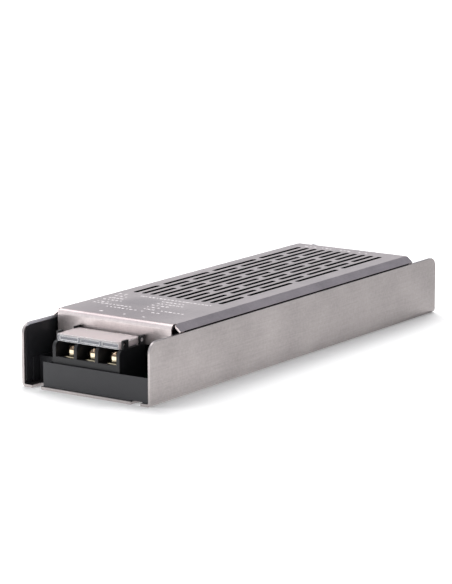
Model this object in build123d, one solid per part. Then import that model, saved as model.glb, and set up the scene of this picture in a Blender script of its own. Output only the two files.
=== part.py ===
from build123d import *

import math
import os

# A slim enclosed power supply. Millimetres. +X runs from the input end to the output end,
# +Z is up, and the origin is at the middle of the underside.

# Case
body_length = 198.0
body_width = 57.4
body_height = 26.2
chassis_sheet = 1.0
chassis_bend_radius = 0.6
wall_corner_radius = 4.0

# Cover: flat top, sloped long edges, a bent flap at each end
cover_sheet = 0.8
cover_edge_width = 2.8
cover_edge_slope = 40.0
cover_inset = 18.5
cover_seat_gap = 0.04
flap_inset = 17.1
flap_depth = 8.4
flap_bend_radius = 2.0
flap_side_gap = 0.4
flap_relief_width = 0.6
flap_relief_depth = 1.0

# Vent slots, in a brick pattern
slot_rows = 11
slot_columns = 3
slot_width = 2.0
slot_length = 29.6
slot_short_length = 15.5
slot_gap = 3.3
slot_row_pitch = 3.88
slot_field_start = 57.0
slot_field_offset = 0.8

# Open notches in the ends of the floor, for the fixing screws
notch_width = 4.2
notch_depth = 5.4
notch_side_inset = 6.5
notch_film_margin = 0.5

# Black film: a folded tray on the floor and a lining on each wall
film = 0.4
lining_film = 0.35
film_lay = 0.03
tray_height = 10.2
tray_end_gap = 0.6
tray_window_width = 7.9
tray_setback = 8.3
tray_side_start = 4.5
tray_return_height = 9.4
lining_end_gap = 0.9
lining_reveal = 0.8
lining_foot = 2.0

# Circuit board on bosses pressed up from the floor
board_thickness = 1.6
board_underside = 4.0
board_end_gap = 1.9
board_side_gap = 0.25
board_notch_length = 7.0
board_notch_width = 7.75
boss_radius = 2.6
boss_dimple_radius = 1.9
boss_dimple_depth = 0.5
boss_inset = 24.0
boss_side_inset = 6.2

# M3 screws
m3_radius = 1.5
m3_clearance = 0.12
m3_pan_radius = 2.75
m3_pan_height = 2.0
m3_pan_edge = 0.7
m3_drive_length = 3.4
m3_drive_width = 0.7
m3_drive_depth = 0.8
m3_sunk_radius = 2.75
m3_sunk_height = 0.95
m3_sunk_drive_length = 2.8
m3_sunk_drive_width = 0.6
board_screw_reach = 4.5
wall_screw_reach = 3.8

# Barrier terminal block, in its own frame: x into the case from the front face, z from the board
pole_pitch = 9.5
rib_thickness = 1.4
block_depth = 15.3
block_height = 12.6
block_corner_radius = 2.2
sill_height = 7.05
sill_thickness = 1.2
cell_floor = 3.8
cell_depth = 11.3
screw_inset = 6.2
well_radius = 2.2
well_bottom = 0.4
block_front_gap = 1.6
input_block_offset = 0.8
output_block_side_gap = 1.65
input_poles = 3
output_poles = 4

# Lid posts on the block's four corners
post_thickness = 0.8
post_height = 15.8
front_post_start = 2.3
back_post_start = 12.3
post_length = 3.1
pin_height = 14.3
front_pin_inset = 3.3
hinge_inset = 13.4
post_hole_radius = 0.75
pin_clearance = 0.06
lid_side_gap = 0.2

# Clear lid
lid_front = 0.9
lid_back = 13.85
lid_underside = 12.75
lid_top = 15.3
lid_wall = 0.8
lid_corner_radius = 1.0
lid_top_edge = 0.35
lid_knuckle_radius = 1.05
pane_width = 8.2
pane_height = 1.3
pane_depth = 0.25
pane_offset = 1.2
pane_sill = 0.55
nub_radius = 0.6
nub_height = 0.14

# Contact plate, clamp washers and terminal screw
contact_thickness = 1.0
contact_margin = 0.3
contact_leg_width = 2.0
contact_leg_thickness = 0.8
contact_tail = 1.4
clamp_width = 6.4
clamp_thickness = 0.9
clamp_corner = 0.6
clamp_lift = 1.42
stack_gap = 0.02
spring_thickness = 0.8
spring_radius = 2.9
spring_split = 0.7
terminal_screw_radius = 1.7
terminal_screw_clearance = 0.15
terminal_head_radius = 3.0
terminal_head_height = 2.5
terminal_head_edge = 0.8
terminal_shank_length = 6.0
drive_width = 0.9
drive_length = 4.2
drive_depth = 1.1
drive_turn = 30.0

# Brackets under the cover
bracket_sheet = 1.0
bracket_length = 12.0
bracket_inset = 39.0
bracket_flange = 3.4
bracket_drop = 8.7
bracket_gap = 0.05
cover_screw_drop = 4.7

# Heat bar on the +Y wall between two brackets, and the devices on it
bar_start_gap = 17.0
bar_end_gap = 7.0
bar_thickness = 4.0
bar_foot = 10.5
bar_height = 11.0
bar_screw_height = 16.0
bar_screw_spacing = 30.0
device_width = 10.0
device_thickness = 4.4
device_height = 14.8
device_lift = 2.0
device_pitch = 16.0
device_end_inset = 6.0
device_screw_drop = 3.0
device_screw_recess = 1.6
device_screw_length = 6.0
device_leg = 0.7
device_leg_pitch = 2.54
part_gap = 0.05

# Parts on the board, in stations spread evenly between the two terminal blocks
disc_radius = 5.0
disc_thickness = 4.0
disc_edge = 1.0
disc_spacing = 13.0
fuse_radius = 2.6
fuse_length = 20.0
fuse_cap_length = 5.0
fuse_glass_radius = 2.3
fuse_side_gap = 3.0
fuse_clip_sheet = 0.4
fuse_clip_width = 3.6
xcap_length = 18.0
xcap_width = 7.0
xcap_height = 13.0
xcap_edge = 0.6
xcap_offset = -10.6
line_choke_length = 18.0
line_choke_width = 19.0
line_choke_leg = 4.0
line_choke_core_height = 5.0
line_choke_coil_radius = 5.1
line_choke_coil_length = 8.6
line_choke_offset = 7.0
bridge_width = 20.0
bridge_thickness = 3.6
bridge_height = 13.5
bridge_corner = 2.4
bridge_lift = 2.5
bridge_leg = 0.8
bridge_leg_pitch = 5.0
bridge_offset = 3.0
bulk_radius = 8.0
bulk_length = 30.0
bulk_edge = 0.6
bulk_side_gap = 1.5
bulk_gap = 1.0
bulk_crimp_depth = 0.5
bulk_crimp_width = 1.6
bulk_crimp_inset = 3.0

# Transformer
core_length = 32.0
core_width = 33.0
core_height = 7.5
core_leg = 10.0
core_yoke = 5.6
core_side_leg = 4.4
bobbin_wall = 1.0
bobbin_gap = 0.1
bobbin_flange = 1.0
bobbin_foot_length = 4.6
winding_depth = 3.4
winding_corner = 1.6
transformer_offset = -1.5

# Output side and the two chips
output_choke_radius = 10.0
output_choke_hole = 4.6
output_choke_height = 9.0
output_choke_wire = 1.1
output_choke_turns = 16
output_choke_offset = -12.0
output_cap_radius = 5.0
output_cap_height = 16.0
output_cap_edge = 0.5
output_cap_pitch = 11.5
output_cap_offset = 7.0
vent_length = 6.0
vent_width = 0.4
vent_depth = 0.25
chip_length = 9.8
chip_width = 6.4
chip_height = 3.4
chip_edge = 0.4
chip_side_gap = 2.2

# Derived places
near_end = -body_length / 2
far_end = body_length / 2
inner_half_width = body_width / 2 - chassis_sheet
edge_angle = math.radians(cover_edge_slope)
cover_edge_drop = cover_edge_width * math.tan(edge_angle)
wall_height = body_height - cover_edge_drop - cover_sheet * math.cos(edge_angle) - cover_seat_gap
cover_underside = body_height - cover_sheet
cover_half_top = body_width / 2 - cover_edge_width
flap_half_width = cover_half_top - flap_side_gap
flap_foot = body_height - flap_depth
notch_y = body_width / 2 - notch_side_inset
boss_y = body_width / 2 - boss_side_inset
lining_outer = inner_half_width - film_lay
lining_inner = lining_outer - lining_film
tray_outer = lining_inner - film_lay
tray_inner = tray_outer - film
tray_window_edge = tray_outer - tray_window_width
tray_floor = chassis_sheet + film_lay
board_top = board_underside + board_thickness
board_half_width = tray_inner - board_side_gap
board_notch_edge = board_half_width - board_notch_width
board_near = near_end + board_end_gap
board_far = far_end - board_end_gap
bracket_end = bracket_inset + bracket_length / 2
bar_start = near_end + bracket_end + bar_start_gap
bar_length = far_end - bracket_end - bar_end_gap - bar_start
bar_middle = bar_start + bar_length / 2
primary_start = near_end + block_front_gap + block_depth
secondary_start = far_end - block_front_gap - block_depth
cell_width = pole_pitch - rib_thickness
contact_top = cell_floor + contact_thickness
clamp_bottom = contact_top + clamp_lift
spring_bottom = clamp_bottom + clamp_thickness + stack_gap
head_bottom = spring_bottom + spring_thickness + stack_gap
device_back = lining_inner - film_lay - bar_thickness
device_front = device_back - part_gap - device_thickness
device_screw_z = board_top + device_lift + device_height - device_screw_drop
cover_screw_z = wall_height - cover_screw_drop
output_bank_length = 2 * output_cap_pitch + 2 * output_cap_radius
station_lengths = [disc_thickness, fuse_length, bridge_thickness, bulk_length, core_length, output_bank_length]
station_gap = (secondary_start - primary_start - sum(station_lengths)) / (len(station_lengths) + 1)


def span(x0, x1, y0, y1, z0, z1):
    """A box between two corners."""
    middle = ((x0 + x1) / 2, (y0 + y1) / 2, (z0 + z1) / 2)
    return Pos(*middle) * Box(abs(x1 - x0), abs(y1 - y0), abs(z1 - z0))


def station(index):
    """Where one of the stations along the board starts."""
    return primary_start + (index + 1) * station_gap + sum(station_lengths[:index])


def rod(radius, start, length, axis="Z"):
    """A cylinder from its start point along +X, +Y or +Z."""
    turns = {"X": Rot(0, 90, 0), "Y": Rot(-90, 0, 0), "Z": Rot(0, 0, 0)}
    upright = Pos(0, 0, length / 2) * Cylinder(radius, length)
    return Pos(*start) * turns[axis] * upright


def edges_at(part, axis, **limits):
    """The edges along one axis whose middle lies at the given coordinates."""
    chosen = part.edges().filter_by(axis)
    for name, value in limits.items():
        chosen = chosen.filter_by(lambda edge, n=name, v=value: abs(getattr(edge.center(), n) - v) < 0.01)
    return chosen


def group(parts):
    """Separate solids kept together in one node."""
    return Compound(children=[part.solid() for part in parts])


def both_ends(place, part):
    """A part at the input end and its mirror image at the output end."""
    near = place * part
    return [near, mirror(near, Plane.YZ)]


# Chassis

def boss_places():
    inset = near_end + boss_inset
    return [(x, y) for x in (inset, -inset) for y in (boss_y, -boss_y)]


def notch_cutter(margin):
    """One open notch at the input end, wider all round by the margin."""
    radius = notch_width / 2 + margin
    centre = near_end + notch_depth - notch_width / 2
    tall = 4 * chassis_sheet
    throat = span(near_end - radius, centre, -radius, radius, -tall, tall)
    return throat + Pos(centre, 0, 0) * Cylinder(radius, 2 * tall)


def notch_cutters(margin=0.0):
    cutters = []
    for side in (1, -1):
        cutters += both_ends(Pos(0, side * notch_y, 0), notch_cutter(margin))
    return cutters


def wall_screw_places():
    """Middles of the sunk screws in the +Y wall: cover brackets, then heat bar."""
    bracket = near_end + bracket_inset
    places = [(bracket, cover_screw_z), (-bracket, cover_screw_z)]
    return places + [(bar_middle + side * bar_screw_spacing / 2, bar_screw_height) for side in (-1, 1)]


def sunk_hole(x, z):
    """A countersunk hole through the +Y wall."""
    face = body_width / 2
    hole = rod(m3_radius + m3_clearance, (x, inner_half_width - 1, z), chassis_sheet + 2, "Y")
    cone = Cone(m3_radius + m3_clearance, m3_sunk_radius + m3_clearance, chassis_sheet)
    return hole + Pos(x, face - chassis_sheet / 2, z) * Rot(-90, 0, 0) * cone


def chassis():
    reach = body_length / 2
    outer = span(-reach, reach, -body_width / 2, body_width / 2, 0, wall_height)
    outer_radius = chassis_bend_radius + chassis_sheet
    outer = fillet(edges_at(outer, Axis.X, Z=0), outer_radius)
    trough = span(-reach - 1, reach + 1, -inner_half_width, inner_half_width, chassis_sheet, body_height)
    trough = fillet(edges_at(trough, Axis.X, Z=chassis_sheet), chassis_bend_radius)
    body = outer - trough
    corners = edges_at(body, Axis.Y, Z=wall_height)
    body = fillet(corners, wall_corner_radius)
    for x, y in boss_places():
        body += rod(boss_radius, (x, y, 0), board_underside)
        body -= rod(m3_radius + m3_clearance, (x, y, -1), board_underside + 2)
        body -= rod(boss_dimple_radius, (x, y, -1), 1 + boss_dimple_depth)
    for cutter in notch_cutters():
        body -= cutter
    for x, z in wall_screw_places():
        body -= sunk_hole(x, z)
    return body


# Cover

def cover_shell():
    """The flat top and both sloped edges, as one extruded section."""
    back = cover_sheet * math.tan(edge_angle / 2)
    edge_z = body_height - cover_edge_drop
    lip_y = body_width / 2 - cover_sheet * math.sin(edge_angle)
    lip_z = edge_z - cover_sheet * math.cos(edge_angle)
    right = [
        (cover_half_top, body_height),
        (body_width / 2, edge_z),
        (lip_y, lip_z),
        (cover_half_top - back, cover_underside),
    ]
    left = [(-y, z) for y, z in reversed(right)]
    outline = Polygon(*right, *left, align=None)
    half = body_length / 2 - cover_inset
    return Pos(-half, 0, 0) * extrude(Plane.YZ * outline, amount=2 * half, dir=(1, 0, 0))


def cover_flap():
    """The bent end flap at the input end, with a short stretch of the top behind the bend."""
    outer_x = near_end + flap_inset
    inner_x = outer_x + cover_sheet
    end_x = outer_x + flap_bend_radius + flap_relief_depth
    half = flap_half_width
    outer = span(outer_x, end_x, -half, half, flap_foot, body_height)
    outer = fillet(edges_at(outer, Axis.Y, X=outer_x, Z=body_height), flap_bend_radius)
    inner = span(inner_x, end_x + 1, -half - 1, half + 1, flap_foot - 1, cover_underside)
    inner_radius = flap_bend_radius - cover_sheet
    inner = fillet(edges_at(inner, Axis.Y, X=inner_x, Z=cover_underside), inner_radius)
    return outer - inner


def vent_slots():
    """All slots as one sketch: rows alternate between a short slot first and a short slot last."""
    start = near_end + slot_field_start
    slots = []
    for row in range(slot_rows):
        y = slot_field_offset + (slot_rows - 1 - 2 * row) / 2 * slot_row_pitch
        lengths = [slot_length] * slot_columns
        if row % 2 == 0:
            lengths.insert(0, slot_short_length)
        else:
            lengths.append(slot_short_length)
        x = start
        for length in lengths:
            slots.append(Pos(x + length / 2, y) * SlotOverall(length, slot_width))
            x += length + slot_gap
    return Sketch() + slots


def cover():
    body = cover_shell()
    clear_half = flap_half_width + flap_relief_width
    clear_end = near_end + flap_inset + flap_bend_radius + flap_relief_depth
    clear = span(near_end, clear_end, -clear_half, clear_half, 0, body_height + 1)
    for cutter in both_ends(Pos(0, 0, 0), clear):
        body -= cutter
    for flap in both_ends(Pos(0, 0, 0), cover_flap()):
        body += flap
    cutter = extrude(Plane.XY.offset(cover_underside - 1) * vent_slots(), amount=cover_sheet + 2)
    return body - cutter


def cover_bracket(side):
    """One bracket in the middle of the case; side is +1 for the +Y wall."""
    top = cover_underside - bracket_gap
    outer = lining_inner - bracket_gap
    corner = cover_half_top - (cover_sheet + bracket_gap) * math.tan(edge_angle / 2) - bracket_gap
    drop = (outer - corner) * math.tan(edge_angle)
    foot = wall_height - bracket_drop
    first = bracket_sheet * math.tan(edge_angle / 2)
    second = bracket_sheet * math.tan((math.pi / 2 - edge_angle) / 2)
    profile = [
        (corner - bracket_flange, top),
        (corner, top),
        (outer, top - drop),
        (outer, foot),
        (outer - bracket_sheet, foot),
        (outer - bracket_sheet, top - drop - second),
        (corner - first, top - bracket_sheet),
        (corner - bracket_flange, top - bracket_sheet),
    ]
    outline = Polygon(*[(side * y, z) for y, z in profile], align=None)
    body = Pos(-bracket_length / 2, 0, 0) * extrude(Plane.YZ * outline, amount=bracket_length, dir=(1, 0, 0))
    hole = rod(m3_radius + m3_clearance, (0, -body_width, cover_screw_z), 2 * body_width, "Y")
    return body - hole


# Black film

def insulation_tray():
    """One folded film: floor, sides, a flap across each end, and a step back round one notch."""
    near = near_end + tray_end_gap
    far = far_end - tray_end_gap
    top = tray_height
    setback = near_end + tray_setback
    body = span(near, far, -tray_outer, tray_outer, tray_floor, tray_floor + film)
    body += span(near, near + film, -tray_outer, tray_window_edge, tray_floor, top)
    body += span(far - film, far, -tray_outer, tray_outer, tray_floor, top)
    body += span(near, far, -tray_outer, -tray_inner, tray_floor, top)
    body += span(near_end + tray_side_start, far, tray_inner, tray_outer, tray_floor, top)
    body += span(near, setback + film, tray_window_edge - film, tray_window_edge, tray_floor, tray_return_height)
    body += span(setback, setback + film, tray_window_edge - film, tray_outer, tray_floor, top)
    body -= span(near_end - 1, setback, tray_window_edge, tray_inner, 0, tray_floor + 2 * film)
    for x, y in boss_places():
        body -= rod(boss_radius + board_side_gap, (x, y, 0), board_underside)
    for cutter in notch_cutters(notch_film_margin):
        body -= cutter & span(near_end, far_end, -tray_inner, tray_inner, 0, tray_floor + film)
    return body


def side_lining(side):
    """A flat film on one wall, cut to follow the wall's rounded corners."""
    reach = body_length / 2 - lining_end_gap
    top = wall_height - lining_reveal
    inner, outer = sorted((side * lining_inner, side * lining_outer))
    body = span(-reach, reach, inner, outer, lining_foot, top)
    body = fillet(edges_at(body, Axis.Y, Z=top), wall_corner_radius - lining_end_gap)
    if side > 0:
        for x, z in wall_screw_places():
            body -= rod(m3_radius + m3_clearance, (x, inner - 1, z), lining_film + 2, "Y")
    return body


# Terminal blocks, in the block's own frame

def block_width(poles):
    return poles * pole_pitch + rib_thickness


def cell_middles(poles):
    return [(index - (poles - 1) / 2) * pole_pitch for index in range(poles)]


def at_input(part):
    return Pos(near_end + block_front_gap, input_block_offset, board_top) * part


def output_block_middle():
    """The output block stands beside the tray's side on the +Y side."""
    return tray_inner - output_block_side_gap - block_width(output_poles) / 2


def at_output(part):
    return Pos(far_end - block_front_gap, output_block_middle(), board_top) * Rot(0, 0, 180) * part


def terminal_block(poles):
    half = block_width(poles) / 2
    body = span(0, block_depth, -half, half, 0, block_height)
    body = fillet(edges_at(body, Axis.Y, X=0, Z=block_height), block_corner_radius)
    for middle in cell_middles(poles):
        y0 = middle - cell_width / 2
        y1 = middle + cell_width / 2
        body -= span(sill_thickness, cell_depth, y0, y1, cell_floor, block_height + 1)
        body -= span(-1, sill_thickness, y0, y1, sill_height, block_height + 1)
        body -= rod(well_radius, (screw_inset, middle, well_bottom), block_height)
        leg_half = contact_leg_width / 2 + contact_margin
        leg_x = cell_depth - contact_margin - contact_leg_thickness
        body -= span(leg_x - contact_margin, cell_depth, middle - leg_half, middle + leg_half, -1, cell_floor)
    for side in (1, -1):
        for start, hole in ((front_post_start, front_pin_inset), (back_post_start, hinge_inset)):
            inner, outer = sorted((side * half, side * (half - post_thickness)))
            post = span(start, min(start + post_length, block_depth), inner, outer, 0, post_height)
            post -= rod(post_hole_radius, (hole, inner - 1, pin_height), post_thickness + 2, "Y")
            body += post
    return body


def lid_half(poles):
    return block_width(poles) / 2 - post_thickness - lid_side_gap


def terminal_lid(poles):
    """A shallow clear tray, open underneath, hinged on pins in the back posts."""
    half = lid_half(poles)
    body = span(lid_front, lid_back, -half, half, lid_underside, lid_top)
    body = fillet(edges_at(body, Axis.Z, X=lid_front), lid_corner_radius)
    body = chamfer(body.edges().group_by(Axis.Z)[-1], lid_top_edge)
    hollow = span(
        lid_front + lid_wall,
        lid_back + 1,
        -half + lid_wall,
        half - lid_wall,
        lid_underside - 1,
        lid_top - lid_wall,
    )
    hollow = fillet(edges_at(hollow, Axis.Z, X=lid_front + lid_wall), lid_corner_radius - lid_wall)
    body -= hollow
    knuckle_start = hinge_inset - lid_knuckle_radius
    body -= span(knuckle_start, lid_back + 1, -half - 1, half + 1, lid_underside - 1, pin_height - lid_knuckle_radius)
    for middle in cell_middles(poles):
        y0 = middle - pane_offset - pane_width / 2
        y1 = y0 + pane_width
        z0 = lid_underside + pane_sill
        body -= span(lid_front - 1, lid_front + pane_depth, y0, y1, z0, z0 + pane_height)
    pin_reach = lid_side_gap + post_thickness
    for side in (1, -1):
        pin_start = half - lid_wall if side > 0 else -half - pin_reach
        pin = rod(post_hole_radius - pin_clearance, (hinge_inset, pin_start, pin_height), pin_reach + lid_wall, "Y")
        body += pin
        nub_start = half - lid_wall if side > 0 else -half - nub_height
        body += rod(nub_radius, (front_pin_inset, nub_start, pin_height), lid_wall + nub_height, "Y")
    return body


def contact_plate():
    """Plate under the clamp with a leg bent down at the back, through block and board."""
    half = cell_width / 2 - contact_margin
    back = cell_depth - contact_margin
    front = sill_thickness + contact_margin
    body = span(front, back, -half, half, cell_floor, contact_top)
    body -= rod(terminal_screw_radius + terminal_screw_clearance, (screw_inset, 0, 0), block_height)
    leg_half = contact_leg_width / 2
    tail = -board_thickness - contact_tail
    body += span(back - contact_leg_thickness, back, -leg_half, leg_half, tail, cell_floor)
    return body


def clamp_washers():
    """A square washer with eased corners, and a split spring washer on it."""
    half = clamp_width / 2
    hole = rod(terminal_screw_radius + terminal_screw_clearance, (0, 0, 0), block_height)
    square = span(-half, half, -half, half, clamp_bottom, clamp_bottom + clamp_thickness)
    square = chamfer(square.edges().filter_by(Axis.Z), clamp_corner)
    spring = rod(spring_radius, (0, 0, spring_bottom), spring_thickness) - hole
    spring -= span(0, spring_radius + 1, -spring_split / 2, spring_split / 2, 0, block_height)
    return group([square - hole, spring])


def terminal_screw():
    """Pan head with a cross recess; the thread is left plain."""
    head = rod(terminal_head_radius, (0, 0, head_bottom), terminal_head_height)
    head = chamfer(head.edges().group_by(Axis.Z)[-1], terminal_head_edge)
    top = head_bottom + terminal_head_height
    for angle in (0, 90):
        recess = Box(drive_length, drive_width, 2 * drive_depth)
        head -= Pos(0, 0, top) * Rot(0, 0, angle + drive_turn) * recess
    return head + rod(terminal_screw_radius, (0, 0, head_bottom - terminal_shank_length), terminal_shank_length)


# Board and fasteners

def circuit_board(contact_places):
    body = span(board_near, board_far, -board_half_width, board_half_width, board_underside, board_top)
    for side in (1, -1):
        for end in (1, -1):
            x0, x1 = end * (board_far - board_notch_length), end * (board_far + 1)
            y0, y1 = side * board_notch_edge, side * (board_half_width + 1)
            body -= span(x0, x1, y0, y1, 0, board_top + 1)
    for x, y in boss_places():
        body -= rod(m3_radius + m3_clearance, (x, y, 0), board_top + 1)
    hole_x = contact_leg_thickness / 2 + contact_margin
    hole_y = contact_leg_width / 2 + contact_margin
    for x, y in contact_places:
        body -= span(x - hole_x, x + hole_x, y - hole_y, y + hole_y, 0, board_top + 1)
    return body


def board_screw():
    """Pan head with a single slot."""
    head = rod(m3_pan_radius, (0, 0, 0), m3_pan_height)
    head = chamfer(head.edges().group_by(Axis.Z)[-1], m3_pan_edge)
    recess = Box(m3_drive_length, m3_drive_width, 2 * m3_drive_depth)
    head -= Pos(0, 0, m3_pan_height) * recess
    return head + rod(m3_radius, (0, 0, -board_screw_reach), board_screw_reach)


def wall_screw():
    """A sunk screw whose head is flush with the outside of the +Y wall."""
    shank = rod(m3_radius, (0, -wall_screw_reach, 0), wall_screw_reach, "Y")
    cone = Cone(m3_radius, m3_sunk_radius, m3_sunk_height)
    body = shank + Pos(0, -m3_sunk_height / 2, 0) * Rot(-90, 0, 0) * cone
    recess = Box(m3_sunk_drive_length, m3_sunk_height, m3_sunk_drive_width)
    for angle in (0, 90):
        body -= Rot(0, angle, 0) * recess
    return body


def device_screw():
    """Holds a device to the heat bar; the head faces the middle of the case."""
    head = rod(m3_pan_radius, (0, -m3_pan_height, 0), m3_pan_height, "Y")
    return head + rod(m3_radius, (0, 0, 0), device_screw_length, "Y")


# Heat bar and its devices

def device_places():
    """The bar's four devices, two towards each end of it."""
    outer = bar_length / 2 - device_end_inset
    inner = outer - device_pitch
    return [bar_middle + offset for offset in (-outer, -inner, inner, outer)]


def heat_bar():
    front = device_back
    bar_end = bar_start + bar_length
    body = span(bar_start, bar_end, front, front + bar_thickness, bar_foot, bar_foot + bar_height)
    for x, z in wall_screw_places()[2:]:
        body -= rod(m3_radius + m3_clearance, (x, front - 1, z), bar_thickness + 2, "Y")
    for x in device_places():
        body -= rod(m3_radius + m3_clearance, (x, front - 1, device_screw_z), bar_thickness + 2, "Y")
    return body


def power_device():
    """A moulded device standing on three legs, with its back to the bar."""
    bottom = board_top + device_lift
    top = bottom + device_height
    back = device_back - part_gap
    half = device_width / 2
    face = device_front + device_screw_recess
    step_z = device_screw_z - m3_pan_radius - board_side_gap
    body = span(-half, half, device_front, back, bottom, top)
    body -= span(-half - 1, half + 1, device_front - 1, face, step_z, top + 1)
    body -= rod(m3_radius + m3_clearance, (0, device_front - 1, device_screw_z), device_thickness + 2, "Y")
    middle = (device_front + back) / 2
    reach = device_leg / 2
    for step in (-1, 0, 1):
        x = step * device_leg_pitch
        body += span(x - reach, x + reach, middle - reach, middle + reach, board_top, bottom)
    return body


# Parts on the board

def standing_disc():
    body = Rot(0, 90, 0) * Cylinder(disc_radius, disc_thickness)
    body = chamfer(body.edges().filter_by(GeomType.CIRCLE), disc_edge)
    return Pos(station(0) + disc_thickness / 2, 0, board_top + part_gap + disc_radius) * body


def fuse_axis():
    y = -board_half_width + fuse_side_gap + fuse_radius
    return station(1), y, board_top + fuse_clip_sheet + part_gap + fuse_radius


def fuse():
    x, y, z = fuse_axis()
    body = rod(fuse_glass_radius, (x, y, z), fuse_length, "X")
    body += rod(fuse_radius, (x, y, z), fuse_cap_length, "X")
    return body + rod(fuse_radius, (x + fuse_length - fuse_cap_length, y, z), fuse_cap_length, "X")


def fuse_clip(x):
    """A spring clip under one fuse cap."""
    _, y, z = fuse_axis()
    inner = fuse_radius + part_gap
    outer = inner + fuse_clip_sheet
    body = rod(outer, (x, y, z), fuse_clip_width, "X")
    body += span(x, x + fuse_clip_width, y - inner / 2, y + inner / 2, board_top, z)
    body -= rod(inner, (x - 1, y, z), fuse_clip_width + 2, "X")
    return body - span(x - 1, x + fuse_clip_width + 1, y - outer, y + outer, z + inner / 2, z + 2 * outer)


def fuse_clips():
    x, _, _ = fuse_axis()
    inset = (fuse_cap_length - fuse_clip_width) / 2
    return [fuse_clip(x + inset), fuse_clip(x + fuse_length - inset - fuse_clip_width)]


def suppression_capacitor():
    x = station(1) + (fuse_length - xcap_length) / 2
    y = xcap_offset
    body = span(x, x + xcap_length, y - xcap_width / 2, y + xcap_width / 2, board_top, board_top + xcap_height)
    return chamfer(body.edges().group_by(Axis.Z)[-1], xcap_edge)


def line_choke_middle():
    return station(1) + fuse_length / 2, line_choke_offset, board_top + part_gap + line_choke_coil_radius


def line_choke_core():
    leg = line_choke_leg
    body = Box(line_choke_length, line_choke_width, line_choke_core_height)
    body -= Box(line_choke_length - 2 * leg, line_choke_width - 2 * leg, line_choke_core_height + 1)
    return Pos(*line_choke_middle()) * body


def line_choke_coils():
    x, y, z = line_choke_middle()
    leg = line_choke_leg
    coils = []
    for side in (1, -1):
        coil = Rot(0, 90, 0) * Cylinder(line_choke_coil_radius, line_choke_coil_length)
        coil -= Box(line_choke_length, leg + 2 * part_gap, line_choke_core_height + 2 * part_gap)
        coils.append(Pos(x, y + side * (line_choke_width - leg) / 2, z) * coil)
    return coils


def rectifier_bridge():
    x = station(2)
    y0 = bridge_offset - bridge_width / 2
    bottom = board_top + bridge_lift
    body = span(x, x + bridge_thickness, y0, y0 + bridge_width, bottom, bottom + bridge_height)
    corner = edges_at(body, Axis.X, Y=y0, Z=bottom + bridge_height)
    body = chamfer(corner, bridge_corner)
    middle = x + bridge_thickness / 2
    reach = bridge_leg / 2
    for step in (-1.5, -0.5, 0.5, 1.5):
        y = bridge_offset + step * bridge_leg_pitch
        body += span(middle - reach, middle + reach, y - reach, y + reach, board_top, bottom)
    return body


def bulk_capacitor(number):
    """A can lying along the case, with the sleeve drawn in at its crimp."""
    x = station(3)
    step = 2 * bulk_radius + bulk_gap
    y = -board_half_width + bulk_side_gap + bulk_radius + number * step
    z = board_top + part_gap + bulk_radius
    body = rod(bulk_radius, (x, y, z), bulk_length, "X")
    body = chamfer(body.edges().filter_by(GeomType.CIRCLE), bulk_edge)
    ring = rod(bulk_radius + 1, (x + bulk_crimp_inset, y, z), bulk_crimp_width, "X")
    ring -= rod(bulk_radius - bulk_crimp_depth, (x, y, z), bulk_length, "X")
    return body - ring


# Transformer

def transformer_middle():
    z = board_top + part_gap + core_height / 2 + bobbin_gap + bobbin_wall + winding_depth
    return station(4) + core_length / 2, transformer_offset, z


def transformer_core():
    window = core_length - 2 * core_yoke
    side_y = core_width / 2 - core_side_leg
    body = Box(core_length, core_width, core_height)
    for side in (1, -1):
        y0, y1 = sorted((side * core_leg / 2, side * side_y))
        body -= span(-window / 2, window / 2, y0, y1, -core_height, core_height)
    return Pos(*transformer_middle()) * body


def bobbin_sizes():
    window = core_length - 2 * core_yoke
    return window - 2 * bobbin_gap, core_leg / 2 + bobbin_gap, core_height / 2 + bobbin_gap


def transformer_bobbin():
    length, half_y, half_z = bobbin_sizes()
    wall = bobbin_wall
    tube = Box(length, 2 * (half_y + wall), 2 * (half_z + wall))
    reach = winding_depth
    for side in (1, -1):
        x = side * (length / 2 - bobbin_flange / 2)
        tube += Pos(x, 0, 0) * Box(bobbin_flange, 2 * (half_y + wall + reach), 2 * (half_z + wall + reach))
    tube -= Box(length + 1, 2 * half_y, 2 * half_z)
    _, _, z = transformer_middle()
    foot_top = -core_height / 2 - bobbin_gap
    foot_bottom = board_top - z
    for side in (1, -1):
        x0, x1 = sorted((side * (length / 2 - bobbin_flange), side * (length / 2 + bobbin_foot_length)))
        tube += span(x0, x1, -half_y - wall - reach, half_y + wall + reach, foot_bottom, foot_top)
    return Pos(*transformer_middle()) * tube


def transformer_winding():
    length, half_y, half_z = bobbin_sizes()
    inner_y = half_y + bobbin_wall + bobbin_gap
    inner_z = half_z + bobbin_wall + bobbin_gap
    depth = winding_depth - 2 * bobbin_gap
    body = Box(length - 2 * bobbin_flange - 2 * bobbin_gap, 2 * (inner_y + depth), 2 * (inner_z + depth))
    body = chamfer(body.edges().filter_by(Axis.X), winding_corner)
    body -= Box(length, 2 * inner_y, 2 * inner_z)
    return Pos(*transformer_middle()) * body


# Output choke and capacitors

def output_choke_middle():
    z = board_top + part_gap + output_choke_height / 2
    return station(5) + output_choke_radius, output_choke_offset, z


def output_choke_core():
    wire = output_choke_wire
    height = output_choke_height - 2 * (wire + part_gap)
    inside = (output_choke_radius - wire) * math.cos(math.pi / output_choke_turns)
    body = Cylinder(inside - part_gap, height)
    body -= Cylinder(output_choke_hole + wire + part_gap, height + 1)
    return Pos(*output_choke_middle()) * body


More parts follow.
